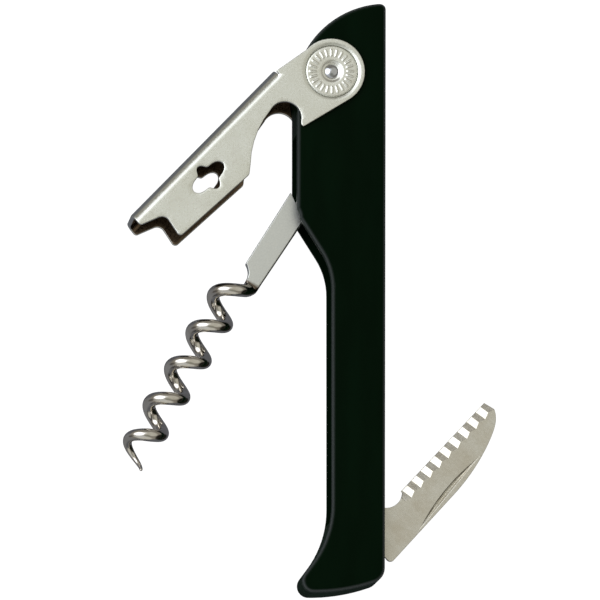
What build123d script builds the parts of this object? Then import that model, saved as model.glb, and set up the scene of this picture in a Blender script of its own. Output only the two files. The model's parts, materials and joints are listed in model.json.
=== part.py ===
"""Waiter's corkscrew: a slotted black handle with a bottle lever, a worm and a serrated foil knife.

Millimetres. While the pieces are drawn, the lever pivot is the origin, the handle runs along Y with
its nose up, and Z is the thickness, with the middle of the handle at z = 0. At the end all pieces are
moved together so that the origin is the middle of the underside of the whole tool, lying on its back.
"""

from build123d import *
from math import cos, radians, sin
import os

# ---- Handle ---------------------------------------------------------------------------------------
HANDLE_HALF_T = 6.0            # half thickness over both shells
CHANNEL_HALF = 4.2             # half width of the worm channel, and half thickness of the core
RIGHT_TOP_X = 10.7             # straight right edge, which leans in a little towards the tail
RIGHT_LOW_X = 10.3
LEFT_WIDE_X = -6.6             # left edge beside the lever
LEFT_SLIM_X = 0.1              # left edge of the slim grip
NOSE_TIP = (9.15, 13.74)
NOSE_MID = (2.12, 11.46)
NOSE_END_Y = 0.04
TAIL_RADIUS = 2.2              # round of the tail's hooked end
OUTER_EDGE_R = 0.8             # moulded round on the outer edges of the shells

# ---- Frame and hidden parts -----------------------------------------------------------------------
LINER_T = 0.6
LINER_INSET = 1.4              # the liners stop this far inside the handle's outline
FIT_GAP = 0.05                 # radial clearance of a pivot in its hole
SEAT_GAP = 0.01                # radial clearance of a fixed pin in its hole
LINER_GAP = 0.05               # gap round a liner in its recess
CHANNEL_TOP_Y = -12.0
CHANNEL_LOW_Y = -87.6
CHANNEL_DEEP_X = 2.9           # right wall of the channel beside the flat shank
CHANNEL_SLIM_X = 1.3           # right wall of the channel beside the worm
BAY_HALF = 0.75                # half width of the knife slot
BAY_LEFT_X = 4.6
BAY_TOP_Y = -52.6
BAY_FLOOR_Y = -98.45           # the back of the open blade stops just above this floor
RIVET_SPOTS = [(4.5, 9.0), (6.5, -38.0), (2.95, -66.0), (0.8, -95.5)]
RIVET_R = 0.8

# ---- Lever ----------------------------------------------------------------------------------------
LEVER_ANGLE = 226.2            # direction of the lever at rest, in degrees from +X
SHEET_T = 0.9
LEVER_HALF_W = 7.0             # outer half width of the folded channel
EAR_R = 6.45
WEB_V = -8.16                  # outer face of the web, beside the lever's pivot line
WEB_START = 7.6                # where the web begins, along the lever
BEND_R = 2.2                   # outer radius of the two folds
DISC_R = 5.05
DISC_T = 0.45                  # the discs lie flush in recesses of this depth
DISC_GAP = 0.1
DISH_WIDTH = 0.65              # shallow slope of the ear down to the disc's groove
DISH_DEPTH = 0.15
PIVOT_RIVET_R = 1.6
BUSH_R = 2.6
DOME_RISE = 0.7                # the ends of the pivot rivet are domed by this much
CLOVER_CENTRE = (31.85, -2.62)
CLOVER_MEAN = 2.74             # the four-lobed hole: mean radius, stretch along the lever, lobe height
CLOVER_STRETCH = 0.575
CLOVER_LOBE = 0.64
CLOVER_POINTS = 32

# ---- Worm -----------------------------------------------------------------------------------------
WORM_PIVOT = (0.0, -15.8)
WORM_ANGLE = 239.9
WORM_PIN_R = 1.5
TANG_R = 2.7
SHANK_HALF_T = 1.25
HELIX_R = 2.6                  # radius of the wire's centre line
WIRE_R = 1.26
HELIX_PITCH = 8.22
HELIX_V = -3.07                # the helix axis beside the worm's pivot
HELIX_START = 30.96            # along the worm, from the pivot
HELIX_PHASE = 23.0             # degrees round the axis at the start
HELIX_TURNS = 4.9
TAPER_TURNS = 0.75             # the point is drawn out over the last part of the helix
TAPER_STEPS = 6                # sections along the point
POINT_R = 0.3

# ---- Knife ----------------------------------------------------------------------------------------
KNIFE_PIVOT = (5.9, -91.2)
KNIFE_ANGLE = 47.0
KNIFE_PIN_R = 1.2
BLADE_HALF_T = 0.4
KNIFE_TANG_R = 3.0
TANG_CLEAR = 0.2
HEEL_SWEEP_R = 7.2             # clears the heel of the blade as it turns
EDGE_V = 1.1                   # line of the teeth beside the knife's pivot line
BEVEL_REACH = 1.83             # width of the ground bevel
EDGE_LAND = 0.2                # thickness left at the tips of the teeth
TOOTH_PITCH = 2.63
TOOTH_COUNT = 9
FIRST_RIDGE = 14.79            # along the blade, from the pivot
RIDGE_TO_GROOVE = 1.33         # from a ridge to the groove on its pivot side
GROOVE_DEPTH = 0.15
RIDGE_TILT = 0.07              # the ridges lean towards the tip as they run in, as a slope
NICK_ENDS = [(11.56, -5.96), (26.74, -4.95)]
NICK_RADIUS = 60.0             # of the wheel that cuts the nail nick
NICK_LEAN = 42.0               # the wheel's axis rises off the blade by this angle
NICK_WIDTH = 1.0

INNER_HALF_W = LEVER_HALF_W - SHEET_T
LINER_Z = CHANNEL_HALF         # inner face of a liner; the outer face is in a recess of the shell
ALONG_EDGE = 0.02              # face to face parts in a stack stand this far apart


def swing_plane(pivot, angle, height=0.0):
    """A plane at a pivot with X along a swinging piece and Z up."""
    along = (cos(radians(angle)), sin(radians(angle)), 0)
    return Plane(origin=(pivot[0], pivot[1], height), x_dir=along, z_dir=(0, 0, 1))


def handle_profile():
    """The outline of the handle, seen from the front."""
    with BuildSketch() as profile:
        with BuildLine():
            left = Line((LEFT_WIDE_X, NOSE_END_Y), (LEFT_WIDE_X, -26.8))
            bend = RadiusArc(left @ 1, (-6.05, -28.65), 3.5)
            slope = Line(bend @ 1, (-2.0, -35.05))
            blend = ThreePointArc(slope @ 1, (-0.43, -38.55), (LEFT_SLIM_X, -42.4))
            slim = Line(blend @ 1, (LEFT_SLIM_X, -84.0))
            flare = ThreePointArc(slim @ 1, (-0.89, -90.2), (-3.76, -95.7))
            hook = Line(flare @ 1, (-7.84, -101.2))
            heel = Line(hook @ 1, (-2.6, -101.15))
            under = ThreePointArc(heel @ 1, (3.16, -100.53), (RIGHT_LOW_X, -98.35))
            right = Line(under @ 1, (RIGHT_TOP_X, 13.74))
            top = Line(right @ 1, NOSE_TIP)
            ThreePointArc(top @ 1, NOSE_MID, left @ 0)
        make_face()
        for corner, radius in (((-7.84, -101.2), TAIL_RADIUS), ((RIGHT_LOW_X, -98.35), 3.0),
                               ((RIGHT_TOP_X, 13.74), 1.1)):
            fillet(profile.vertices().sort_by_distance((*corner, 0))[0], radius)
    return profile.sketch


def hole_set():
    """Centres and radii of the round holes that a liner needs."""
    holes = [(WORM_PIVOT, WORM_PIN_R), (KNIFE_PIVOT, KNIFE_PIN_R), ((0, 0), BUSH_R)]
    holes += [(spot, RIVET_R) for spot in RIVET_SPOTS]
    return holes


def ring(pivot, outer, inner, low, high):
    """A washer or spacer standing on a pivot."""
    with BuildPart() as piece:
        with BuildSketch(Plane.XY.offset(low)):
            with Locations(pivot):
                Circle(outer)
                Circle(inner, mode=Mode.SUBTRACT)
        extrude(amount=high - low)
    return piece.part


OUTLINE = handle_profile()

# ---- Shells: two moulded scales with a recess for the liners ----------------------------------------
with BuildPart() as front_shell:
    with BuildSketch(Plane.XY.offset(CHANNEL_HALF)):
        add(OUTLINE)
    extrude(amount=HANDLE_HALF_T - CHANNEL_HALF)
    fillet(front_shell.faces().sort_by(Axis.Z)[-1].edges(), OUTER_EDGE_R)
    with BuildSketch(Plane.XY.offset(CHANNEL_HALF)):
        add(OUTLINE)
        offset(amount=LINER_GAP - LINER_INSET, mode=Mode.REPLACE)
    extrude(amount=LINER_T, mode=Mode.SUBTRACT)
    with BuildSketch(Plane.XY):
        Circle(BUSH_R + SEAT_GAP)
    extrude(amount=HANDLE_HALF_T, mode=Mode.SUBTRACT)

with BuildPart() as rear_shell:
    add(front_shell.part)
    mirror(about=Plane.XY, mode=Mode.REPLACE)

# ---- Liners: steel plates that carry the pivots -----------------------------------------------------
with BuildPart() as front_liner:
    with BuildSketch(Plane.XY.offset(LINER_Z)):
        add(OUTLINE)
        offset(amount=-LINER_INSET, mode=Mode.REPLACE)
        for centre, radius in hole_set():
            with Locations(centre):
                Circle(radius + SEAT_GAP, mode=Mode.SUBTRACT)
    extrude(amount=LINER_T)

with BuildPart() as rear_liner:
    add(front_liner.part)
    mirror(about=Plane.XY, mode=Mode.REPLACE)

# ---- Core: the moulding between the liners, open on the left for the worm and slit for the knife ----
with BuildPart() as core_block:
    with BuildSketch(Plane.XY.offset(-CHANNEL_HALF)):
        add(OUTLINE)
        with BuildLine():
            Polyline((-20, CHANNEL_TOP_Y), (CHANNEL_DEEP_X, CHANNEL_TOP_Y), (CHANNEL_DEEP_X, -47.0),
                     (CHANNEL_SLIM_X, -51.0), (CHANNEL_SLIM_X, CHANNEL_LOW_Y), (-20, CHANNEL_LOW_Y),
                     close=True)
        make_face(mode=Mode.SUBTRACT)
        with Locations(WORM_PIVOT):
            Circle(TANG_R + 0.4, mode=Mode.SUBTRACT)
        for centre, radius in hole_set()[1:]:
            with Locations(centre):
                Circle(radius + SEAT_GAP, mode=Mode.SUBTRACT)
    extrude(amount=2 * CHANNEL_HALF)
    with BuildSketch(Plane.XY.offset(-BAY_HALF)):
        with BuildLine():
            Polyline((BAY_LEFT_X, BAY_TOP_Y), (20, BAY_TOP_Y), (20, KNIFE_PIVOT[1]),
                     (2.7, KNIFE_PIVOT[1]), (2.7, -83.6), (BAY_LEFT_X, -82.0), close=True)
        make_face()
        with Locations(KNIFE_PIVOT):
            Circle(KNIFE_TANG_R + TANG_CLEAR)
    extrude(amount=2 * BAY_HALF, mode=Mode.SUBTRACT)
    with BuildSketch(Plane.XY.offset(-BAY_HALF)):
        with Locations(KNIFE_PIVOT):
            Circle(HEEL_SWEEP_R)
            with Locations((-10.9, 0)):
                Rectangle(20, 40, mode=Mode.SUBTRACT)
        with BuildLine():
            Polyline((KNIFE_PIVOT[0], BAY_FLOOR_Y), (20, BAY_FLOOR_Y), (20, KNIFE_PIVOT[1]),
                     KNIFE_PIVOT, close=True)
        make_face()
    extrude(amount=2 * BAY_HALF, mode=Mode.SUBTRACT)

# ---- Pins, rivets, spacers and washers of the handle ------------------------------------------------
PIN_REACH = LINER_Z + LINER_T
with BuildPart() as worm_pivot_pin:
    with BuildSketch(Plane.XY.offset(-PIN_REACH)):
        with Locations(WORM_PIVOT):
            Circle(WORM_PIN_R)
    extrude(amount=2 * PIN_REACH)

with BuildPart() as knife_pivot_pin:
    with BuildSketch(Plane.XY.offset(-PIN_REACH)):
        with Locations(KNIFE_PIVOT):
            Circle(KNIFE_PIN_R)
    extrude(amount=2 * PIN_REACH)

with BuildPart() as frame_rivets:
    with BuildSketch(Plane.XY.offset(-PIN_REACH)):
        with Locations(*RIVET_SPOTS):
            Circle(RIVET_R)
    extrude(amount=2 * PIN_REACH)

with BuildPart() as lever_bush:
    add(ring((0, 0), BUSH_R, PIVOT_RIVET_R + FIT_GAP, -HANDLE_HALF_T, HANDLE_HALF_T))

SPACER = (WORM_PIVOT, 2.6, WORM_PIN_R + SEAT_GAP)
with BuildPart() as front_worm_spacer:
    add(ring(*SPACER, SHANK_HALF_T + ALONG_EDGE, CHANNEL_HALF))

with BuildPart() as rear_worm_spacer:
    add(ring(*SPACER, -CHANNEL_HALF, -SHANK_HALF_T - ALONG_EDGE))

WASHER = (KNIFE_PIVOT, 2.4, KNIFE_PIN_R + SEAT_GAP)
with BuildPart() as front_knife_washer:
    add(ring(*WASHER, BLADE_HALF_T + ALONG_EDGE, BAY_HALF))

with BuildPart() as rear_knife_washer:
    add(ring(*WASHER, -BAY_HALF, -BLADE_HALF_T - ALONG_EDGE))


# ---- Lever: one sheet folded into a channel, with ears, cap hook, notched foot and clover holes ------
def lever_profile():
    """Outline of a side wall of the lever, in the lever's own plane: X along it, web at low Y."""
    with BuildSketch() as profile:
        with BuildLine():
            upper = Line((0.4, -6.44), (WEB_START, -7.72))
            step = Line(upper @ 1, (WEB_START, WEB_V))
            web = Line(step @ 1, (47.5, WEB_V))
            end = Polyline(web @ 1, (47.9, -7.2), (47.85, -5.45))
            notch_low = Line(end @ 1, (42.95, -3.5))
            notch_high = Line(notch_low @ 1, (44.1, 1.57))
            belly = Line(notch_high @ 1, (25.9, 2.66))
            rise = Line(belly @ 1, (24.3, 1.45))
            sweep_edge = ThreePointArc(rise @ 1, (19.4, -1.75), (13.9, -3.16))
            arch = ThreePointArc(sweep_edge @ 1, (9.83, -0.6), (11.3, 2.55))
            beak = Line(arch @ 1, (12.2, 3.5))
            lower = Line(beak @ 1, (1.61, 6.24))
            ThreePointArc(lower @ 1, (-EAR_R, 0), (0.4, -6.44))
        make_face()
        for corner, radius in (((42.95, -3.5), 1.5), ((44.1, 1.57), 0.8), ((25.9, 2.66), 0.9),
                               ((12.2, 3.5), 0.5), ((47.9, -7.2), 0.5), ((47.85, -5.45), 0.6)):
            fillet(profile.vertices().sort_by_distance((corner[0], corner[1], 0))[0], radius)
    return profile.sketch


def clover_point(angle):
    """A point of the four-lobed hole's edge."""
    reach = CLOVER_MEAN + CLOVER_STRETCH * cos(2 * angle) + CLOVER_LOBE * cos(4 * angle)
    return (CLOVER_CENTRE[0] + reach * cos(angle), CLOVER_CENTRE[1] + reach * sin(angle))


def clover():
    """The four-lobed hole of the lever's walls."""
    with BuildSketch() as hole:
        with BuildLine():
            Spline(*[clover_point(radians(360 * k / CLOVER_POINTS)) for k in range(CLOVER_POINTS)],
                   periodic=True)
        make_face()
    return hole.sketch


LEVER_OUTLINE = lever_profile()

with BuildPart() as lever:
    with BuildSketch(swing_plane((0, 0), LEVER_ANGLE, -LEVER_HALF_W)):
        add(LEVER_OUTLINE)
        with Locations((WEB_START - 10, 0)):
            Rectangle(20, 40, mode=Mode.SUBTRACT)
    extrude(amount=2 * LEVER_HALF_W)
    fold_lines = lever.edges().filter_by(
        lambda e: abs(swing_plane((0, 0), LEVER_ANGLE).to_local_coords(e.center()).Y - WEB_V) < 0.01
        and abs(abs(e.center().Z) - LEVER_HALF_W) < 0.01)
    fillet(fold_lines, BEND_R)
    with BuildSketch(swing_plane((0, 0), LEVER_ANGLE, -INNER_HALF_W)):
        with Locations((30, WEB_V + SHEET_T + 15)):
            Rectangle(60, 30)
    extrude(amount=2 * INNER_HALF_W, mode=Mode.SUBTRACT)
    inner_folds = lever.edges().filter_by(
        lambda e: abs(swing_plane((0, 0), LEVER_ANGLE).to_local_coords(e.center()).Y
                      - WEB_V - SHEET_T) < 0.01
        and abs(abs(e.center().Z) - INNER_HALF_W) < 0.01 and e.length > 10)
    fillet(inner_folds, BEND_R - SHEET_T)
    for base in (-LEVER_HALF_W, INNER_HALF_W):
        with BuildSketch(swing_plane((0, 0), LEVER_ANGLE, base)):
            add(LEVER_OUTLINE)
            with Locations((WEB_START + 30, 0)):
                Rectangle(60, 40, mode=Mode.SUBTRACT)
        extrude(amount=SHEET_T)
    with BuildSketch(swing_plane((0, 0), LEVER_ANGLE, -LEVER_HALF_W)):
        add(clover())
    extrude(amount=2 * LEVER_HALF_W, mode=Mode.SUBTRACT)
    with BuildSketch(Plane.XY.offset(-LEVER_HALF_W)):
        Circle(PIVOT_RIVET_R + SEAT_GAP)
    extrude(amount=2 * LEVER_HALF_W, mode=Mode.SUBTRACT)
    for side in (1, -1):
        with BuildSketch(Plane.XY.offset(side * LEVER_HALF_W)):
            Circle(DISC_R + DISC_GAP)
        extrude(amount=-side * DISC_T, mode=Mode.SUBTRACT)
        with BuildSketch(Plane.XZ):
            with BuildLine():
                Polyline((0, side * LEVER_HALF_W), (DISC_R + DISC_GAP + DISH_WIDTH, side * LEVER_HALF_W),
                         (DISC_R + DISC_GAP, side * (LEVER_HALF_W - DISH_DEPTH)),
                         (0, side * (LEVER_HALF_W - DISH_DEPTH)), close=True)
            make_face()
        revolve(axis=Axis.Z, mode=Mode.SUBTRACT)


def pivot_disc(side):
    """A coin-like disc let into the ear, under the head of the pivot rivet."""
    seat = LEVER_HALF_W - DISC_T
    with BuildPart() as piece:
        with BuildSketch(Plane.XY.offset(side * seat)):
            Circle(DISC_R)
            Circle(PIVOT_RIVET_R + SEAT_GAP, mode=Mode.SUBTRACT)
        extrude(amount=side * DISC_T)
        rim = piece.faces().sort_by(Axis.Z)[-1 if side > 0 else 0].edges().sort_by(SortBy.LENGTH)[-1]
        fillet(rim, 0.15)
    return piece.part


with BuildPart() as front_pivot_disc:
    add(pivot_disc(1))

with BuildPart() as rear_pivot_disc:
    add(pivot_disc(-1))

DOME_R = (PIVOT_RIVET_R ** 2 + DOME_RISE ** 2) / (2 * DOME_RISE)
with BuildPart() as lever_rivet:
    with BuildSketch(Plane.XZ):
        with BuildLine():
            shaft = Line((PIVOT_RIVET_R, DOME_RISE - LEVER_HALF_W), (PIVOT_RIVET_R, LEVER_HALF_W - DOME_RISE))
            front_dome = RadiusArc(shaft @ 1, (0, LEVER_HALF_W), -DOME_R)
            middle = Line(front_dome @ 1, (0, -LEVER_HALF_W))
            RadiusArc(middle @ 1, shaft @ 0, -DOME_R)
        make_face()
    revolve(axis=Axis.Z)

# ---- Worm: a flat shank drawn out into a right-handed helix with a tapered point ---------------------
WORM_PLANE = swing_plane(WORM_PIVOT, WORM_ANGLE)


def helix_point(turn):
    """Centre of the wire after a number of turns."""
    angle = radians(HELIX_PHASE + 360 * turn)
    return WORM_PLANE.from_local_coords(Vector(HELIX_START + HELIX_PITCH * turn,
                                               HELIX_V + HELIX_R * cos(angle), HELIX_R * sin(angle)))


def wire_plane(turn):
    """The plane square to the wire after a number of turns."""
    step = 0.001
    ahead, behind = helix_point(turn + step), helix_point(turn - step)
    return Plane(origin=helix_point(turn), z_dir=(ahead - behind).normalized())


with BuildPart() as worm:
    with BuildSketch(swing_plane(WORM_PIVOT, WORM_ANGLE, -SHANK_HALF_T)) as shank:
        with BuildLine():
            Polyline((0, -1.0), (11.15, -1.0), (9.95, -2.83), (26.4, -3.38), (27.3, -2.25), (28.7, -1.65),
                     (30.4, -1.5), (31.1, 0.0), (30.9, 0.8), (29.5, 1.25), (13.6, 2.15), (0, TANG_R),
                     close=True)
        make_face()
        fillet(shank.vertices().sort_by_distance((9.95, -2.83, 0))[0], 0.3)
        Circle(TANG_R)
        Circle(WORM_PIN_R + FIT_GAP, mode=Mode.SUBTRACT)
    extrude(amount=2 * SHANK_HALF_T)
    start_turn = -HELIX_PHASE / 360
    start = helix_point(start_turn)
    axis_point = WORM_PLANE.from_local_coords(Vector(HELIX_START + HELIX_PITCH * start_turn, HELIX_V, 0))
    helix_frame = Plane(origin=axis_point, x_dir=start - axis_point, z_dir=WORM_PLANE.x_dir)
    full_turns = HELIX_TURNS - TAPER_TURNS - start_turn
    coil = Edge.make_helix(HELIX_PITCH, HELIX_PITCH * full_turns, HELIX_R).moved(helix_frame.location)
    with BuildSketch(wire_plane(start_turn)):
        Circle(WIRE_R)
    sweep(path=coil, is_frenet=True)
    with Locations(start):
        Sphere(WIRE_R)
    for step in range(TAPER_STEPS + 1):
        share = step / TAPER_STEPS
        turn = HELIX_TURNS - TAPER_TURNS * (1 - share)
        with BuildSketch(wire_plane(turn)):
            Circle(WIRE_R + (POINT_R - WIRE_R) * share ** 1.2)
    loft()

# ---- Knife: a ground blade with a serrated edge, a nail nick and a notched heel ----------------------
KNIFE_PLANE = swing_plane(KNIFE_PIVOT, KNIFE_ANGLE)


def on_blade(point, towards, across):
    """A plane standing at a point of the blade, with its Z and X given as steps along the blade's own axes."""
    origin = KNIFE_PLANE.from_local_coords(Vector(*point))
    z_dir = KNIFE_PLANE.from_local_coords(Vector(*point) + Vector(*towards)) - origin
    x_dir = KNIFE_PLANE.from_local_coords(Vector(*point) + Vector(*across)) - origin
    return Plane(origin=origin, x_dir=x_dir, z_dir=z_dir)


def serration():
    """The zigzag of ridges and grooves across the ground bevel, closed off the blade; Y runs into it."""
    points = []
    for tooth in range(TOOTH_COUNT + 1):
        points.append((tooth * TOOTH_PITCH - RIDGE_TO_GROOVE, GROOVE_DEPTH))
        points.append((tooth * TOOTH_PITCH, 0))
    return [(-TOOTH_PITCH, -4), (-TOOTH_PITCH, 0)] + points + [(points[-1][0], -4)]


with BuildPart() as knife_blade:
    with BuildSketch(swing_plane(KNIFE_PIVOT, KNIFE_ANGLE, -BLADE_HALF_T)) as blade:
        with BuildLine():
            edge = Line((37.0, EDGE_V), (13.1, EDGE_V))
            start = Line(edge @ 1, (13.1, 0.75))
            choil = ThreePointArc(start @ 1, (10.9, 0.0), (8.6, 1.15))
            shoulder = Polyline(choil @ 1, (7.0, 2.6), (0, KNIFE_TANG_R))
            back = Line(shoulder @ 1, (0, -KNIFE_TANG_R))
            kick = Polyline(back @ 1, (1.55, -5.4), (1.3, -7.0))
            spine = Line(kick @ 1, (20.0, -6.78))
            curve = Spline(spine @ 1, (27.9, -5.88), (33.0, -4.4), (37.35, -1.15),
                           tangents=[spine % 1, (0.45, 1.0)])
            Line(curve @ 1, edge @ 0)
        make_face()
        fillet(blade.vertices().sort_by_distance((1.3, -7.0, 0))[0], 0.9)
        Circle(KNIFE_TANG_R)
        Circle(KNIFE_PIN_R + FIT_GAP, mode=Mode.SUBTRACT)
    extrude(amount=2 * BLADE_HALF_T)
    drop = 2 * BLADE_HALF_T - EDGE_LAND
    bevel_top = (FIRST_RIDGE + RIDGE_TILT * BEVEL_REACH, EDGE_V - BEVEL_REACH, BLADE_HALF_T)
    outward = Vector(-RIDGE_TILT * BEVEL_REACH, BEVEL_REACH, -drop)
    along = Vector(1, 0, 0) - outward * (outward.X / outward.dot(outward))
    with BuildSketch(on_blade(bevel_top, outward, along).offset(-4)):
        with BuildLine():
            Polyline(*serration(), close=True)
        make_face()
    extrude(amount=outward.length + 8, mode=Mode.SUBTRACT)
    low, high = (Vector(*end) for end in NICK_ENDS)
    chord = high - low
    nick_depth = chord.length ** 2 / (8 * NICK_RADIUS)
    across = Vector(-chord.Y, chord.X).normalized()
    axis = across * cos(radians(NICK_LEAN)) + Vector(0, 0, sin(radians(NICK_LEAN)))
    rise = Vector(0, 0, cos(radians(NICK_LEAN))) - across * sin(radians(NICK_LEAN))
    deepest = (low + high) / 2 + Vector(0, 0, BLADE_HALF_T - nick_depth)
    with BuildSketch(on_blade(tuple(deepest + rise * NICK_RADIUS), axis, chord)):
        Circle(NICK_RADIUS)
    extrude(amount=2 * NICK_WIDTH, mode=Mode.SUBTRACT)

# ---- Put the origin under the middle of the whole tool and write the pieces --------------------------
PIECES = {
    "front_shell": front_shell, "rear_shell": rear_shell, "core_block": core_block,
    "front_liner": front_liner, "rear_liner": rear_liner, "worm_pivot_pin": worm_pivot_pin,
    "knife_pivot_pin": knife_pivot_pin, "lever_bush": lever_bush, "frame_rivets": frame_rivets,
    "front_worm_spacer": front_worm_spacer, "rear_worm_spacer": rear_worm_spacer,
    "front_knife_washer": front_knife_washer, "rear_knife_washer": rear_knife_washer,
    "lever": lever, "lever_rivet": lever_rivet, "front_pivot_disc": front_pivot_disc,
    "rear_pivot_disc": rear_pivot_disc, "worm": worm, "knife_blade": knife_blade,
}

whole = Compound(children=[Compound(piece.part.solids()) for piece in PIECES.values()])
box = whole.bounding_box(optimal=True)
shift = Vector(-(box.min.X + box.max.X) / 2, -(box.min.Y + box.max.Y) / 2, -box.min.Z)

os.makedirs("parts", exist_ok=True)
for name, piece in PIECES.items():
    placed = piece.part.moved(Location(shift))
    placed.label = name
    export_step(placed, f"parts/{name}.step")

print("size", [round(value, 3) for value in (box.size.X, box.size.Y, box.size.Z)])
print("shift", [round(value, 4) for value in (shift.X, shift.Y, shift.Z)])
for name, pivot in (("lever", (0, 0)), ("worm", WORM_PIVOT), ("knife", KNIFE_PIVOT)):
    print(name, "pivot", round(pivot[0] + shift.X, 4), round(pivot[1] + shift.Y, 4), round(shift.Z, 4))
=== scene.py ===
"""Looks of the waiter's corkscrew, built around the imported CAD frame.

Lengths inside the builders are millimetres, measured from a pivot of the frame; swing() takes them to the
row frame in metres. Along a swinging piece is X, across it is Y, and the middle plane of the handle is Z = 0.
"""

import json
import math

import bmesh
import bpy
from mathutils import Matrix, Vector
from mathutils.geometry import delaunay_2d_cdt


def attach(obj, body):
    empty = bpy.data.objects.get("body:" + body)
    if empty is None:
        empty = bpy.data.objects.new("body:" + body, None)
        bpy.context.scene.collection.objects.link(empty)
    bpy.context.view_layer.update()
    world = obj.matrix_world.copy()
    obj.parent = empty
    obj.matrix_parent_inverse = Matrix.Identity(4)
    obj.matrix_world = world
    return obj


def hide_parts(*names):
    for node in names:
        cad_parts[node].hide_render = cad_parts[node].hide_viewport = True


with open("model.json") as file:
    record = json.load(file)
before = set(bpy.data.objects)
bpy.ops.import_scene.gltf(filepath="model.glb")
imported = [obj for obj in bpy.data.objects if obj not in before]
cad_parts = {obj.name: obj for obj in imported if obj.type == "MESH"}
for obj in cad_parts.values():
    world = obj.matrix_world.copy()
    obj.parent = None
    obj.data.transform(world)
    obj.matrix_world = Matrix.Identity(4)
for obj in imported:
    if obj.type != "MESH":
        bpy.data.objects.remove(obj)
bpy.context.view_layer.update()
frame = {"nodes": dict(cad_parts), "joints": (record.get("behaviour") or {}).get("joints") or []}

MM = 0.001
PIVOT = {joint["name"]: Vector(joint["pos_m"]) for joint in frame["joints"]}

# ---- Lever ---------------------------------------------------------------------------------------
LEVER_ANGLE = 226.2
SHEET_T = 0.9
LEVER_HALF_W = 7.0
WEB_V = -8.16
WEB_START = 7.6
BEND_R = 2.2
SHEET_EDGE = 0.14
SLIT = 0.12
SLIT_STOP = 0.9
DISC_R = 5.05
DISC_GAP = 0.06
DISH_WIDTH = 0.65
DISH_DEPTH = 0.15
CLOVER_CENTRE = (31.85, -2.62)
CLOVER_MEAN = 2.74
CLOVER_STRETCH = 0.575
CLOVER_LOBE = 0.64
FILL_U = 1.0
FILL_W = 0.9
FILL_CLEAR = 0.16
DISH_RINGS = 5
DISH_RING_STEP = 0.17
BEND_STEPS = 10

# ---- Pivot disc and rivet ------------------------------------------------------------------------
TICKS = 24
TICK_INNER = 3.0
TICK_OUTER = 4.3
TICK_HALF_W = 0.17
TICK_RISE = 0.1
RIVET_R = 1.6
DOME_RISE = 0.62
POLISHED_R = 2.3
POLISHED_DIP = 0.28
DISC_EDGE = 0.3
BORE_R = 0.8 * RIVET_R

# ---- Worm ----------------------------------------------------------------------------------------
WORM_ANGLE = 239.9
TANG_R = 2.7
SHANK_HALF_T = 1.25
HELIX_R = 2.6
WIRE_R = 1.26
HELIX_PITCH = 8.22
HELIX_V = -3.07
HELIX_START = 30.96
HELIX_PHASE = 23.0
HELIX_TURNS = 4.9
TAPER_TURNS = 0.75
POINT_R = 0.3
SHANK_CORNER = 0.22
WIRE_JOIN = 58.0
NECK_STEPS = 26
STEPS_PER_TURN = 72


# ---- Mesh helpers --------------------------------------------------------------------------------
def swing(joint, angle):
    """Takes (along, across, up) in millimetres at a joint into the row frame."""
    turn = Matrix.Rotation(math.radians(angle), 4, "Z")
    return Matrix.Translation(PIVOT[joint]) @ turn @ Matrix.Scale(MM, 4)


def smoothstep(low, high, value):
    share = min(1.0, max(0.0, (value - low) / (high - low)))
    return share * share * (3 - 2 * share)


def arc_points(start, middle, end, step=9.0):
    """Points after start, up to end, on the circle through three points."""
    a, b, c = Vector(start), Vector(middle), Vector(end)
    d = 2 * (a.x * (b.y - c.y) + b.x * (c.y - a.y) + c.x * (a.y - b.y))
    aa, bb, cc = (point.length_squared for point in (a, b, c))
    centre = Vector((aa * (b.y - c.y) + bb * (c.y - a.y) + cc * (a.y - b.y),
                     aa * (c.x - b.x) + bb * (a.x - c.x) + cc * (b.x - a.x))) / d
    first, mid, last = (math.atan2(p.y - centre.y, p.x - centre.x) for p in (a, b, c))
    full = 2 * math.pi
    sweep = (last - first) % full
    if (mid - first) % full > sweep:
        sweep -= full
    count = max(2, math.ceil(abs(math.degrees(sweep)) / step))
    radius = (a - centre).length
    angles = [first + sweep * k / count for k in range(1, count + 1)]
    return [centre + radius * Vector((math.cos(angle), math.sin(angle))) for angle in angles]


def rounded(corners, step=9.0):
    """A closed outline from (x, y, radius) corners. A corner whose radius is the word "arc" is the middle of
    an arc between its neighbours."""
    ring, count = [], len(corners)
    for k, (x, y, radius) in enumerate(corners):
        here = Vector((x, y))
        before = Vector(corners[k - 1][:2])
        after = Vector(corners[(k + 1) % count][:2])
        if radius == "arc":
            ring += arc_points(before, here, after, step)[:-1]
        elif radius:
            back, on = (before - here).normalized(), (after - here).normalized()
            half = back.angle(on) / 2
            centre = here + (back + on).normalized() * radius / math.sin(half)
            start, end = (here + side * radius / math.tan(half) for side in (back, on))
            middle = centre + (here - centre).normalized() * radius
            ring.append(start)
            ring += arc_points(start, middle, end, step)
        else:
            ring.append(here)
    return ring


def circle(radius, count=96):
    return [Vector((radius * math.cos(2 * math.pi * k / count), radius * math.sin(2 * math.pi * k / count)))
            for k in range(count)]


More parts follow.
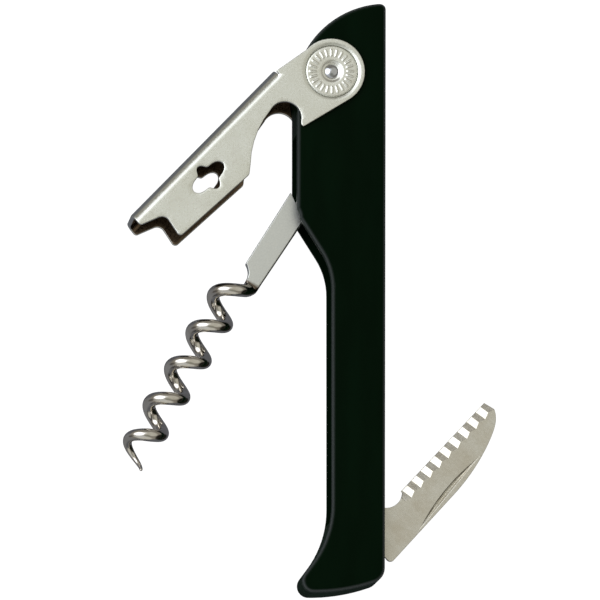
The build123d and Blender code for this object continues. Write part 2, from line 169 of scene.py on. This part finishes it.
def sheet_blank(rings, thickness, edge):
    """A flat sheet with rounded edges, as a bmesh, from its outline and holes."""
    curve = bpy.data.curves.new("blank", "CURVE")
    curve.dimensions = "2D"
    curve.fill_mode = "BOTH"
    curve.extrude = thickness / 2 - edge
    curve.bevel_depth = edge
    curve.bevel_resolution = 2
    curve.offset = -edge
    for ring in rings:
        spline = curve.splines.new("POLY")
        spline.points.add(len(ring) - 1)
        for point, place in zip(spline.points, ring):
            point.co = (place.x, place.y, 0, 1)
        spline.use_cyclic_u = True
    holder = bpy.data.objects.new("blank", curve)
    bpy.context.scene.collection.objects.link(holder)
    bpy.context.view_layer.update()
    mesh = bpy.data.meshes.new_from_object(holder.evaluated_get(bpy.context.evaluated_depsgraph_get()))
    bpy.data.objects.remove(holder)
    bm = bmesh.new()
    bm.from_mesh(mesh)
    bmesh.ops.remove_doubles(bm, verts=bm.verts, dist=1e-4)
    return bm


def inside(point, edges):
    """Even and odd crossings of a line to the right of a point."""
    odd = False
    for a, b in edges:
        if (a.y > point.y) != (b.y > point.y) and point.x < a.x + (b.x - a.x) * (point.y - a.y) / (b.y - a.y):
            odd = not odd
    return odd


def remesh_flats(bm, extra):
    """Fills a blank's two flat faces again, with more points in them, so that they can be shaped and shade
    well."""
    for side in (1, -1):
        flats = [face for face in bm.faces if face.normal.z * side > 0.999]
        bmesh.ops.delete(bm, geom=flats, context="FACES_ONLY")
        loose = [edge for edge in bm.edges if not edge.link_faces]
        bmesh.ops.delete(bm, geom=loose, context="EDGES")
        rim = [edge for edge in bm.edges if len(edge.link_faces) == 1]
        verts = list({vert for edge in rim for vert in edge.verts})
        index = {vert: k for k, vert in enumerate(verts)}
        level = verts[0].co.z
        flat = [vert.co.xy.copy() for vert in verts]
        borders = [(edge.verts[0].co.xy.copy(), edge.verts[1].co.xy.copy()) for edge in rim]
        inner = [point for point in extra
                 if inside(point, borders) and min((point - place).length for place in flat) > FILL_CLEAR]
        points, _, faces, sources, _, _ = delaunay_2d_cdt(
            flat + inner, [tuple(index[vert] for vert in edge.verts) for edge in rim], [], 0, 1e-6)
        made = []
        for point, source in zip(points, sources):
            known = source and source[0] < len(verts)
            made.append(verts[source[0]] if known else bm.verts.new((point.x, point.y, level)))
        for face in faces:
            centre = sum((points[k] for k in face), Vector((0, 0))) / len(face)
            if inside(centre, borders):
                bm.faces.new([made[k] for k in face])
    bmesh.ops.recalc_face_normals(bm, faces=bm.faces)


def loft(rings, closed_ends=True):
    """A tube through rings of the same number of points, as a bmesh."""
    bm = bmesh.new()
    rows = [[bm.verts.new(point) for point in ring] for ring in rings]
    count = len(rows[0])
    for low, high in zip(rows, rows[1:]):
        for k in range(count):
            bm.faces.new((low[k], low[(k + 1) % count], high[(k + 1) % count], high[k]))
    if closed_ends:
        bm.faces.new(list(reversed(rows[0])))
        bm.faces.new(rows[-1])
    bmesh.ops.recalc_face_normals(bm, faces=bm.faces)
    return bm


def piece(name, bm, matrix, body, material, node):
    """Makes a bmesh into a piece that rides on a body and stands for a CAD node."""
    bm.transform(matrix)
    mesh = bpy.data.meshes.new(name)
    bm.to_mesh(mesh)
    bm.free()
    mesh.shade_smooth()
    mesh.materials.append(material)
    made = bpy.data.objects.new(name, mesh)
    bpy.context.scene.collection.objects.link(made)
    made.modifiers.new("normals", "WEIGHTED_NORMAL").keep_sharp = True
    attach(made, body)
    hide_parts(node)
    return made


# ---- Materials -----------------------------------------------------------------------------------
class Shader:
    """A material whose patterns are put together node by node."""

    def __init__(self, name, color, roughness, metallic=0.0, **fixed):
        self.material = bpy.data.materials.new(name)
        self.material.use_nodes = True
        self.nodes = self.material.node_tree.nodes
        self.links = self.material.node_tree.links
        self.surface = self.nodes["Principled BSDF"]
        self.surface.inputs["Base Color"].default_value = (*color, 1)
        self.surface.inputs["Roughness"].default_value = roughness
        self.surface.inputs["Metallic"].default_value = metallic
        for socket, value in fixed.items():
            self.surface.inputs[socket.replace("_", " ")].default_value = value
        self.place = self.nodes.new("ShaderNodeTexCoord").outputs["Object"]
        self.height = None

    def node(self, kind, **inputs):
        made = self.nodes.new(kind)
        for socket, value in inputs.items():
            self.feed(made.inputs[socket.replace("_", " ")], value)
        return made

    def feed(self, socket, value):
        if isinstance(value, bpy.types.NodeSocket):
            self.links.new(value, socket)
        else:
            socket.default_value = value

    def noise(self, size, detail=3.0, stretch=(1, 1, 1), turn=0.0, distortion=0.0):
        """Noise with features of a size in millimetres, which may be stretched along turned axes."""
        mapping = self.node("ShaderNodeMapping", Vector=self.place)
        mapping.vector_type = "TEXTURE"
        mapping.inputs["Rotation"].default_value = (0, 0, math.radians(turn))
        mapping.inputs["Scale"].default_value = [size * MM * s for s in stretch]
        return self.node("ShaderNodeTexNoise", Vector=mapping.outputs["Vector"], Scale=1.0, Detail=detail,
                         Distortion=distortion).outputs["Fac"]

    def attribute(self, name):
        made = self.nodes.new("ShaderNodeAttribute")
        made.attribute_name = name
        return made.outputs["Fac"]

    def ramp(self, value, low, high, start=0.35, end=0.65):
        """Takes a value from start to end to a number from low to high."""
        made = self.node("ShaderNodeMapRange", Value=value)
        made.inputs["From Min"].default_value = start
        made.inputs["From Max"].default_value = end
        made.inputs["To Min"].default_value = low
        made.inputs["To Max"].default_value = high
        return made.outputs["Result"]

    def mix(self, share, first, second):
        made = self.nodes.new("ShaderNodeMix")
        made.data_type = "RGBA"
        self.feed(made.inputs["Factor"], share)
        for socket, value in ((made.inputs[6], first), (made.inputs[7], second)):
            self.feed(socket, (*value, 1) if isinstance(value, tuple) else value)
        return made.outputs[2]

    def color(self, value):
        self.links.new(value, self.surface.inputs["Base Color"])

    def roughness(self, value):
        self.links.new(value, self.surface.inputs["Roughness"])

    def bump(self, height, distance):
        """Adds a bump of a height in millimetres."""
        made = self.node("ShaderNodeBump", Height=height)
        made.inputs["Distance"].default_value = distance * MM
        if self.height:
            self.links.new(self.height, made.inputs["Normal"])
        self.height = made.outputs["Normal"]
        self.links.new(self.height, self.surface.inputs["Normal"])


def satin_plate(name, light, dark, roughness=0.3, stain=(0.45, 0.38, 0.30), folded=False):
    """Tumbled nickel plate: soft clouds of colour, fine pits and faint staining. A folded sheet's outer bends
    are burnished, and its inner side, inside the channel, is painted dark as painted shade."""
    shader = Shader(name, light, roughness, metallic=1.0)
    clouds = shader.ramp(shader.noise(6.0, 4.0), 0.0, 1.0, 0.35, 0.7)
    grain = shader.noise(0.35, 2.0)
    base = shader.mix(clouds, light, dark)
    blotch = shader.ramp(shader.noise(3.2, 5.0, distortion=0.6), 0.0, 0.12, 0.58, 0.75)
    color = shader.mix(blotch, base, stain)
    matt = shader.ramp(grain, roughness - 0.04, roughness + 0.06)
    if folded:
        # painted shade: the inner side of the folded sheet, inside the channel, is painted dark brown, its
        # rims a little less
        color = shader.mix(shader.attribute("inner"), color, (0.16, 0.115, 0.075))
        burnished = shader.node("ShaderNodeMath")
        burnished.operation = "MULTIPLY_ADD"
        shader.feed(burnished.inputs[0], shader.attribute("worn"))
        burnished.inputs[1].default_value = -0.12
        shader.feed(burnished.inputs[2], matt)
        matt = burnished.outputs[0]
    shader.color(color)
    shader.roughness(matt)
    shader.bump(grain, 0.004)
    shader.bump(shader.noise(2.4, 3.0), 0.01)
    return shader.material


def black_moulding(name, roughness=0.36):
    """Black moulded plastic: a fine spark-eroded texture, faint flow marks, and a painted highlight: its
    rounded edges are painted grey.
    """
    shader = Shader(name, (0.0006, 0.0038, 0.0016), roughness, IOR=1.46, Specular_IOR_Level=0.04)
    flow = shader.ramp(shader.noise(9.0, 3.0, stretch=(0.5, 2.2, 1)), 0.0, 1.0)
    flat = shader.mix(flow, (0.0002, 0.0055, 0.0012), (0.0006, 0.0075, 0.0020))
    normal = shader.nodes.new("ShaderNodeTexCoord").outputs["Normal"]
    parts = shader.node("ShaderNodeSeparateXYZ", Vector=normal)
    absolute = shader.node("ShaderNodeMath", Value=parts.outputs["Z"])
    absolute.operation = "ABSOLUTE"
    upright = absolute.outputs[0]
    # painted highlight: the rounded edges between the flat faces and the sides are painted grey
    painted_edge_highlight = shader.mix(shader.ramp(upright, 0.0, 1.0, 0.1, 0.5), flat, (0.045, 0.052, 0.052))
    shader.color(shader.mix(shader.ramp(upright, 1.0, 0.0, 0.75, 0.98), flat, painted_edge_highlight))
    shader.roughness(shader.ramp(shader.noise(0.5, 2.0), roughness - 0.04, roughness + 0.05))
    shader.bump(shader.noise(0.22, 2.0), 0.0025)
    return shader.material


def rolled_steel(name):
    """Blanked steel plate with rolling marks along it."""
    shader = Shader(name, (0.42, 0.41, 0.39), 0.4, metallic=1.0)
    marks = shader.noise(0.3, 3.0, stretch=(1, 30, 1))
    shader.color(shader.mix(shader.ramp(marks, 0.0, 1.0), (0.48, 0.47, 0.45), (0.34, 0.33, 0.31)))
    shader.roughness(shader.ramp(marks, 0.32, 0.5))
    shader.bump(marks, 0.004)
    return shader.material


def turned_metal(name, color, roughness):
    """Turned pins and sleeves: fine rings round their length."""
    shader = Shader(name, color, roughness, metallic=1.0)
    rings = shader.noise(0.12, 2.0, stretch=(40, 40, 1))
    shader.color(shader.mix(shader.ramp(rings, 0.0, 0.25), color, tuple(0.6 * c for c in color)))
    shader.roughness(shader.ramp(rings, roughness - 0.06, roughness + 0.08))
    shader.bump(rings, 0.003)
    return shader.material


def nylon(name):
    """Natural nylon: milky and slightly uneven."""
    shader = Shader(name, (0.58, 0.56, 0.5), 0.45, Subsurface_Weight=0.2)
    shader.surface.inputs["Subsurface Radius"].default_value = (0.001, 0.001, 0.001)
    tone = shader.noise(0.8, 3.0)
    shader.color(shader.mix(shader.ramp(tone, 0.0, 1.0), (0.62, 0.6, 0.54), (0.5, 0.48, 0.42)))
    shader.roughness(shader.ramp(tone, 0.4, 0.52))
    shader.bump(tone, 0.004)
    return shader.material


def ground_steel(name):
    """Satin stainless steel: a faint brushed grain across the blade and warm stains."""
    shader = Shader(name, (0.7, 0.67, 0.6), 0.3, metallic=1.0)
    grain = shader.noise(0.3, 3.0, stretch=(12, 1, 1), turn=137)
    pits = shader.noise(0.45, 2.0)
    clouds = shader.ramp(shader.noise(4.5, 4.0, distortion=0.4), 0.0, 1.0, 0.4, 0.72)
    base = shader.mix(clouds, (0.78, 0.76, 0.69), (0.7, 0.66, 0.57))
    shader.color(shader.mix(shader.ramp(grain, 0.0, 0.12), base, (0.45, 0.4, 0.33)))
    shader.roughness(shader.ramp(pits, 0.25, 0.34))
    shader.bump(grain, 0.003)
    shader.bump(pits, 0.004)
    return shader.material


def drawn_wire(name):
    """The worm: a satin shank that turns into bright polished wire, with a dark brown band where it was bent.
    """
    shader = Shader(name, (0.72, 0.7, 0.66), 0.1, metallic=1.0)
    wire = shader.attribute("wire")
    grain = shader.noise(0.3, 2.0)
    shank = shader.mix(shader.ramp(grain, 0.0, 1.0), (0.78, 0.80, 0.78), (0.72, 0.74, 0.72))
    bright = shader.mix(shader.ramp(shader.noise(1.6, 4.0), 0.0, 1.0), (0.80, 0.77, 0.72), (0.68, 0.64, 0.58))
    base = shader.mix(wire, shank, bright)
    # a dark brown band laid round the neck of the bend
    shader.color(shader.mix(shader.attribute("neck_band"), base, (0.12, 0.08, 0.05)))
    satin = shader.ramp(grain, 0.3, 0.38)
    polished = shader.ramp(shader.noise(0.7, 3.0), 0.10, 0.15)
    blend = shader.nodes.new("ShaderNodeMix")
    shader.links.new(wire, blend.inputs[0])
    shader.links.new(satin, blend.inputs[2])
    shader.links.new(polished, blend.inputs[3])
    shader.roughness(blend.outputs[0])
    shader.bump(grain, 0.0012)
    shader.bump(shader.noise(1.3, 2.0), 0.004)
    return shader.material


LEVER_PLATE = satin_plate("lever_plate", (0.93, 0.95, 0.90), (0.86, 0.87, 0.80), folded=True)
DISC_PLATE = satin_plate("disc_plate", (0.95, 0.96, 0.91), (0.88, 0.89, 0.82), 0.28)
RIVET_POLISH = turned_metal("rivet_polish", (0.66, 0.68, 0.72), 0.12)
WORM_WIRE = drawn_wire("worm_wire")
BLADE_EDGE = 0.08
FINISHES = {
    "front_shell": black_moulding("shell_moulding_front"),
    "rear_shell": black_moulding("shell_moulding_rear"),
    "core_block": black_moulding("core_moulding", 0.55),
    "front_liner": rolled_steel("front_liner_plate"),
    "rear_liner": rolled_steel("rear_liner_plate"),
    "worm_pivot_pin": turned_metal("worm_pin_turned", (0.5, 0.5, 0.5), 0.3),
    "knife_pivot_pin": turned_metal("knife_pin_turned", (0.5, 0.5, 0.5), 0.3),
    "frame_rivets": turned_metal("frame_rivets_turned", (0.5, 0.49, 0.47), 0.34),
    "lever_bush": turned_metal("bush_brass", (0.72, 0.52, 0.25), 0.3),
    "front_knife_washer": turned_metal("front_washer_brass", (0.72, 0.52, 0.25), 0.32),
    "rear_knife_washer": turned_metal("rear_washer_brass", (0.72, 0.52, 0.25), 0.32),
    "front_worm_spacer": nylon("front_spacer_nylon"),
    "rear_worm_spacer": nylon("rear_spacer_nylon"),
    "knife_blade": ground_steel("blade_steel"),
}


# ---- Lever: one folded sheet ---------------------------------------------------------------------
WEB_HALF = LEVER_HALF_W - BEND_R
BEND_MID_R = BEND_R - SHEET_T / 2
BEND_LENGTH = BEND_MID_R * math.pi / 2
WALL_V = WEB_V + BEND_R                      # where a wall's flat part begins
WALL_W = WEB_HALF + BEND_LENGTH              # the same place on the flat blank


def on_blank(v):
    """Distance from the middle of the blank to a place on the flat wall."""
    return WALL_W + v - WALL_V


def lever_blank():
    """Outline of the flat sheet: two ears and walls joined by the web, cut free of the ears by slits."""
    half = [
        (WEB_START + SLIT / 2, WALL_W - SLIT_STOP, 0),
        (WEB_START - SLIT / 2, WALL_W - SLIT_STOP, 0),
        (WEB_START - SLIT / 2, on_blank(-7.72), 0.15),
        (0.4, on_blank(-6.44), 0),
        (-6.45, on_blank(0), "arc"),
        (1.61, on_blank(6.24), 0),
        (12.2, on_blank(3.5), 0.5),
        (11.3, on_blank(2.55), 0),
        (9.83, on_blank(-0.6), "arc"),
        (13.9, on_blank(-3.16), 0),
        (19.4, on_blank(-1.75), "arc"),
        (24.3, on_blank(1.45), 0),
        (25.9, on_blank(2.66), 0.9),
        (44.1, on_blank(1.57), 0.8),
        (42.95, on_blank(-3.5), 1.5),
        (47.8, on_blank(-5.44), 0.7),
        (47.5, WEB_HALF, 0),
    ]
    return half + [(u, -w, radius) for u, w, radius in reversed(half)]


def clover_ring(side, count=96):
    ring = []
    for k in range(count):
        angle = 2 * math.pi * k / count
        reach = CLOVER_MEAN + CLOVER_STRETCH * math.cos(2 * angle) + CLOVER_LOBE * math.cos(4 * angle)
        v = CLOVER_CENTRE[1] + reach * math.sin(angle)
        ring.append(Vector((CLOVER_CENTRE[0] + reach * math.cos(angle), side * on_blank(v))))
    return ring


def fold(point):
    """Where a point of the blank goes when the sheet is folded into a channel."""
    u, w, t = point
    side = 1 if w >= 0 else -1
    w = abs(w)
    if w > WALL_W or (u < WEB_START and w > WEB_HALF):
        return Vector((u, WALL_V + w - WALL_W, side * (LEVER_HALF_W - SHEET_T / 2 + t)))
    if w < WEB_HALF:
        return Vector((u, WEB_V + SHEET_T / 2 - t, side * w))
    angle = (w - WEB_HALF) / BEND_MID_R
    reach = BEND_MID_R + t
    return Vector((u, WALL_V - reach * math.cos(angle), side * (WEB_HALF + reach * math.sin(angle))))


def dish(point):
    """Sinks the ear round the disc into a shallow slope."""
    reach = math.hypot(point.x, point.y)
    if reach < DISC_R + DISC_GAP + DISH_WIDTH + 0.1 and abs(point.z) > LEVER_HALF_W - SHEET_T / 2:
        share = 1 - smoothstep(DISC_R + DISC_GAP, DISC_R + DISC_GAP + DISH_WIDTH, reach)
        point.z -= math.copysign(DISH_DEPTH * share, point.z)
    return point


def build_lever():
    holes = [clover_ring(side) for side in (1, -1)]
    for side in (1, -1):
        centre = Vector((0, side * on_blank(0)))
        holes.append([centre + point for point in circle(DISC_R + DISC_GAP)])
    bm = sheet_blank([rounded(lever_blank())] + holes, SHEET_T, SHEET_EDGE)
    extra = [Vector(((u + 0.5 * (w % 2)) * FILL_U, w * FILL_W)) for u in range(-6, 48) for w in range(-22, 23)]
    for side in (1, -1):
        ear = Vector((0, side * on_blank(0)))
        extra = [point for point in extra if (point - ear).length > DISC_R + DISC_GAP + DISH_WIDTH + 0.5]
        for k in range(DISH_RINGS):
            reach = DISC_R + DISC_GAP + SHEET_EDGE + DISH_RING_STEP * (k + 1)
            extra += [ear + point for point in circle(reach)]
    remesh_flats(bm, extra)
    # inner marks where shade is painted: 1 on the sheet's inner side, 0.3 on that side's rims, 0 on the outer
    # side
    inner = bm.verts.layers.float.new("inner")
    worn = bm.verts.layers.float.new("worn")
    for vert in bm.verts:
        on_rim = any(abs(face.normal.z) < 0.9 for face in vert.link_faces)
        vert[inner] = 0.0 if vert.co.z > -0.4 * SHEET_T else 0.3 if on_rim else 1.0
        vert[worn] = 1.0 if WEB_HALF < abs(vert.co.y) < WALL_W and vert.co.x > WEB_START else 0.0
    levels = [WEB_HALF + BEND_LENGTH * k / BEND_STEPS for k in range(BEND_STEPS + 1)]
    for w in levels + [-level for level in levels]:
        bmesh.ops.bisect_plane(bm, geom=bm.verts[:] + bm.edges[:] + bm.faces[:], dist=1e-5,
                               plane_co=(0, w, 0), plane_no=(0, 1, 0))
    for vert in bm.verts:
        vert.co = dish(fold(vert.co))
    bmesh.ops.recalc_face_normals(bm, faces=bm.faces)
    piece("lever_sheet", bm, swing("lever_hinge", LEVER_ANGLE), "lever", LEVER_PLATE, "lever")


# ---- Pivot discs and rivet -----------------------------------------------------------------------
def disc_height(reach, angle):
    """Height of a disc's face below the ear's: rounded rim, raised radial ticks, polished dip at the rivet."""
    level = -TICK_RISE
    slice_angle = 2 * math.pi / TICKS
    off = abs((angle + slice_angle / 2) % slice_angle - slice_angle / 2) * reach
    tick = (1 - smoothstep(TICK_HALF_W * 0.6, TICK_HALF_W * 1.5, off)) \
        * smoothstep(TICK_INNER - 0.12, TICK_INNER + 0.1, reach) \
        * (1 - smoothstep(TICK_OUTER - 0.1, TICK_OUTER + 0.12, reach))
    level += TICK_RISE * tick
    level -= POLISHED_DIP * (1 - smoothstep(RIVET_R, POLISHED_R, reach))
    over_edge = reach - (DISC_R - DISC_EDGE)
    if over_edge > 0:
        level -= DISC_EDGE - math.sqrt(max(0.0, DISC_EDGE ** 2 - over_edge ** 2))
    return level


def build_disc(side, name, node):
    """A coin-like disc in the ear, with a ring of plain radial ticks."""
    columns = TICKS * 14
    radii = [BORE_R, RIVET_R, 1.75, 1.95, 2.15, POLISHED_R, 2.6, TICK_INNER - 0.14, TICK_INNER - 0.04,
             TICK_INNER + 0.04, TICK_INNER + 0.12, 3.4, 3.9, TICK_OUTER - 0.12, TICK_OUTER - 0.04,
             TICK_OUTER + 0.04, TICK_OUTER + 0.14]
    radii += [DISC_R - DISC_EDGE * (1 - math.sin(math.radians(a))) for a in (0, 20, 40, 60, 75, 90)]
    angles = [2 * math.pi * k / columns for k in range(columns)]

    def ring(reach, height):
        return [Vector((reach * math.cos(angle), reach * math.sin(angle), side * height(angle)))
                for angle in angles]

    rings = [ring(reach, lambda angle: LEVER_HALF_W + disc_height(reach, angle)) for reach in radii]
    rings += [ring(reach, lambda angle: LEVER_HALF_W - SHEET_T) for reach in (DISC_R, BORE_R)]
    rings.append(rings[0])
    bm = loft(rings, closed_ends=False)
    bmesh.ops.remove_doubles(bm, verts=bm.verts, dist=1e-5)
    bmesh.ops.recalc_face_normals(bm, faces=bm.faces)
    piece(name, bm, swing("lever_hinge", LEVER_ANGLE), "lever", DISC_PLATE, node)


def build_rivet():
    """The pivot rivet: a shaft whose ends are formed into polished domes."""
    columns = 64
    dome = (RIVET_R ** 2 + DOME_RISE ** 2) / (2 * DOME_RISE)
    profile = []
    for k in range(13):
        reach = RIVET_R * math.sin(math.radians(90 * k / 12))
        profile.append((reach, LEVER_HALF_W - dome + math.sqrt(dome ** 2 - reach ** 2)))
    profile = [(max(reach, 0.01), height) for reach, height in profile]
    profile += [(reach, -height) for reach, height in reversed(profile)]
    rings = [[point.to_3d() + Vector((0, 0, height)) for point in circle(reach, columns)]
             for reach, height in profile]
    piece("pivot_rivet", loft(rings), swing("lever_hinge", LEVER_ANGLE), "lever", RIVET_POLISH,
          "lever_rivet")


# ---- Worm ----------------------------------------------------------------------------------------
CORNER_STEPS = 8


def section(half_width, half_height, corner):
    """A rounded rectangle, its right corners rounder than its left ones, as (across, up) pairs. Its corners
    may grow until it is a circle."""
    ring = []
    for quarter in range(4):
        sx = 1 if quarter in (0, 3) else -1
        sy = 1 if quarter in (0, 1) else -1
        radius = corner if sx < 0 else min(2 * corner, half_height)
        for k in range(CORNER_STEPS):
            angle = math.radians(90 * quarter + 90 * (k + 0.5) / CORNER_STEPS)
            ring.append((sx * (half_width - radius) + radius * math.cos(angle),
                         sy * (half_height - radius) + radius * math.sin(angle)))
    return ring


def helix_point(degrees):
    angle = math.radians(degrees)
    along = HELIX_START + HELIX_PITCH * (degrees - HELIX_PHASE) / 360
    return Vector((along, HELIX_V + HELIX_R * math.cos(angle), HELIX_R * math.sin(angle)))


def bezier(a, b, c, d, share):
    rest = 1 - share
    return a * rest ** 3 + b * 3 * rest ** 2 * share + c * 3 * rest * share ** 2 + d * share ** 3


def shank_stations():
    """Pairs of points on the left and right edges of the flat shank: round tang, neck, slanted shoulder, body
    and the hollow before the bend."""
    pairs = []
    for k in range(7):
        reach = TANG_R * math.sin(math.radians(78 - 13 * k))
        half = math.sqrt(TANG_R ** 2 - reach ** 2)
        pairs.append((Vector((-reach, -min(half, 1.0 + reach), 0)), Vector((-reach, half, 0))))

    def right_edge(u):
        return TANG_R - 0.55 * u / 13.6 if u < 13.6 else 2.15 - 0.9 * (u - 13.6) / 16

    for left, u in (((4, -1.0), 4), ((9, -1.0), 10), ((11.1, -1.02), 13.0), ((11.17, -1.1), 13.1),
                    ((10.2, -2.55), 13.4), ((9.98, -2.8), 13.5), ((10.2, -2.88), 13.8), ((14, -2.98), 15),
                    ((18, -3.11), 18), ((22, -3.24), 22), ((25, -3.33), 25), ((26.2, -3.37), 26.3),
                    ((26.4, -3.3), 26.5), ((26.6, -3.0), 26.8), ((26.9, -2.62), 27.1), ((27.2, -2.35), 27.4),
                    ((27.6, -2.05), 27.7), ((28.0, -1.86), 28.0), ((28.4, -1.74), 28.4),
                    ((28.8, -1.66), 28.8)):
        pairs.append((Vector((*left, 0)), Vector((u, right_edge(u), 0))))
    return pairs


def build_worm():
    """Flat shank, tight bend and tapered helix, lofted as one bar."""
    centres, acrosses, sections, marks = [], [], [], []
    for left, right in shank_stations():
        centres.append((left + right) / 2)
        acrosses.append((right - left).normalized())
        sections.append(((right - left).length / 2, SHANK_HALF_T, SHANK_CORNER))
        marks.append((0.0, 0.0))
    flat_count = len(centres)
    start = centres[-1]
    end = helix_point(WIRE_JOIN)
    tangent = (helix_point(WIRE_JOIN + 1) - helix_point(WIRE_JOIN - 1)).normalized()
    half = sections[-1][0]
    for k in range(1, NECK_STEPS + 1):
        share = k / NECK_STEPS
        centres.append(bezier(start, start + Vector((2.0, 0.05, 0)), end - tangent * 1.6, end, share))
        round_off = smoothstep(0.05, 0.75, share)
        sections.append((half + (WIRE_R - half) * round_off,
                         SHANK_HALF_T + (WIRE_R - SHANK_HALF_T) * round_off,
                         SHANK_CORNER + (WIRE_R - SHANK_CORNER) * round_off))
        marks.append((smoothstep(0.1, 0.4, share), 0.95 * math.exp(-((share - 0.25) / 0.17) ** 2)))
    last = HELIX_PHASE + 360 * HELIX_TURNS
    steps = int((last - WIRE_JOIN) / 360 * STEPS_PER_TURN)
    for k in range(1, steps + 1):
        degrees = WIRE_JOIN + (last - WIRE_JOIN) * k / steps
        left = (last - degrees) / 360
        radius = WIRE_R
        if left < TAPER_TURNS:
            radius = WIRE_R + (POINT_R - WIRE_R) * (1 - left / TAPER_TURNS) ** 1.2
        centres.append(helix_point(degrees))
        sections.append((radius, radius, radius))
        marks.append((1.0, 0.0))
    tip_direction = (centres[-1] - centres[-2]).normalized()
    tip = centres[-1]
    for share in (0.4, 0.75, 0.95, 0.999):
        radius = POINT_R * math.sqrt(1 - share ** 2)
        centres.append(tip + tip_direction * POINT_R * share)
        sections.append((radius, radius, radius))
        marks.append((1.0, 0.0))
    across, up, rings = Vector((0, 1, 0)), Vector((0, 0, 1)), []
    for k, centre in enumerate(centres):
        if k < flat_count:
            across = acrosses[k]
        else:
            direction = (centres[min(k + 1, len(centres) - 1)] - centres[k - 1]).normalized()
            across = (across - direction * across.dot(direction)).normalized()
            up = direction.cross(across)
        rings.append([centre + across * x + up * y for x, y in section(*sections[k])])
    bm = loft(rings)
    wire = bm.verts.layers.float.new("wire")
    # neck_band: where the dark brown band lies, strongest a quarter of the way along the neck
    neck_band = bm.verts.layers.float.new("neck_band")
    bm.verts.ensure_lookup_table()
    count = len(rings[0])
    for k, vert in enumerate(bm.verts):
        vert[wire], vert[neck_band] = marks[k // count]
    piece("worm_bar", bm, swing("worm_hinge", WORM_ANGLE), "worm", WORM_WIRE, "worm")


# ---- CAD nodes that keep their shape ---------------------------------------------------------------
def finish_node(name, material, edge):
    """Gives a CAD node its material, and breaks its sharp edges by a small round."""
    node = frame["nodes"][name]
    node.data.materials.clear()
    node.data.materials.append(material)
    node.modifiers.new("weld", "WELD").merge_threshold = 1e-6
    if edge:
        bevel = node.modifiers.new("edges", "BEVEL")
        bevel.width = edge * MM
        bevel.segments = 2
        bevel.limit_method = "ANGLE"
        bevel.angle_limit = math.radians(35)
        bevel.use_clamp_overlap = False
    node.modifiers.new("normals", "WEIGHTED_NORMAL").keep_sharp = True


# ---- Stage -----------------------------------------------------------------------------------------
def build_floor():
    """A plain pale floor under the tool."""
    bm = bmesh.new()
    bmesh.ops.create_grid(bm, x_segments=4, y_segments=4, size=1.5)
    mesh = bpy.data.meshes.new("floor")
    bm.to_mesh(mesh)
    bm.free()
    floor = bpy.data.objects.new("floor", mesh)
    bpy.context.scene.collection.objects.link(floor)
    floor.location.z = -0.0003
    shader = Shader("floor_paper", (0.15, 0.15, 0.15), 0.9)
    shader.surface.inputs["Emission Color"].default_value = (1, 1, 1, 1)
    shader.surface.inputs["Emission Strength"].default_value = 1.0
    mesh.materials.append(shader.material)
    floor.visible_glossy = False


def studio_light():
    """The studio as patches of the world, each laid over the ones before it: angle from straight up, bearing
    from +X, radius, softness of its edge, all in degrees, and colour."""
    patches = [
        (110, 205, 42, 14, (0.21, 0.215, 0.225)),
        (0, 0, 90, 10, (0.25, 0.235, 0.205)),
        (95, 340, 37, 5, (0.012, 0.011, 0.008)),
        (68, 262, 27, 9, (0.60, 0.60, 0.55)),
        (50, 225, 25, 9, (0.57, 0.58, 0.57)),
        (26, 25, 34, 7, (0.53, 0.52, 0.46)),
        (22, 278, 14, 7, (0.28, 0.28, 0.24)),
        (26, 110, 10, 6, (0.90, 0.92, 0.90)),
        (40, 165, 26, 8, (2.2, 2.25, 2.32)),
        (87, 197, 13, 4, (0.10, 0.095, 0.09)),
    ]
    world = bpy.data.worlds.new("studio")
    bpy.context.scene.world = world
    world.use_nodes = True
    nodes, links = world.node_tree.nodes, world.node_tree.links
    direction = nodes.new("ShaderNodeTexCoord").outputs["Generated"]
    total = (0.12, 0.125, 0.14, 1)
    for down, bearing, radius, soft, color in patches:
        down, bearing = math.radians(down), math.radians(bearing)
        dot = nodes.new("ShaderNodeVectorMath")
        dot.operation = "DOT_PRODUCT"
        links.new(direction, dot.inputs[0])
        dot.inputs[1].default_value = (math.sin(down) * math.cos(bearing), math.sin(down) * math.sin(bearing),
                                       math.cos(down))
        edge = nodes.new("ShaderNodeMapRange")
        edge.interpolation_type = "SMOOTHSTEP"
        links.new(dot.outputs["Value"], edge.inputs["Value"])
        edge.inputs["From Min"].default_value = math.cos(math.radians(radius + soft))
        edge.inputs["From Max"].default_value = math.cos(math.radians(radius - soft))
        laid = nodes.new("ShaderNodeMix")
        laid.data_type = "RGBA"
        links.new(edge.outputs["Result"], laid.inputs["Factor"])
        if isinstance(total, tuple):
            laid.inputs[6].default_value = total
        else:
            links.new(total, laid.inputs[6])
        laid.inputs[7].default_value = (*color, 1)
        total = laid.outputs[2]
    links.new(total, nodes["Background"].inputs["Color"])


def place_camera():
    """A long lens, looking down at the tool from a little to its left and below."""
    distance, lens, sensor = 1.280, 397.0, 36.0
    turn, tilt = math.radians(5.6), math.radians(8.55)
    target = PIVOT["lever_hinge"] + Vector((-5.524, -43.817, 0)) * MM
    back = Vector((-math.sin(turn) * math.cos(tilt), -math.sin(tilt), math.cos(turn) * math.cos(tilt)))
    right = Vector((0, 1, 0)).cross(back).normalized()
    up = back.cross(right)
    data = bpy.data.cameras.new("camera")
    data.lens = lens
    data.sensor_width = sensor
    data.clip_start = 0.05
    data.clip_end = 20
    camera = bpy.data.objects.new("camera", data)
    bpy.context.scene.collection.objects.link(camera)
    axes = Matrix((right, up, back)).transposed().to_4x4()
    camera.matrix_world = Matrix.Translation(target + back * distance) @ axes
    bpy.context.scene.camera = camera


build_lever()
build_disc(1, "pivot_disc_front", "front_pivot_disc")
build_disc(-1, "pivot_disc_rear", "rear_pivot_disc")
build_rivet()
build_worm()
for node_name, finish in FINISHES.items():
    finish_node(node_name, finish, BLADE_EDGE if node_name == "knife_blade" else 0)
build_floor()
studio_light()
place_camera()
bpy.context.scene.view_settings.view_transform = "Standard"
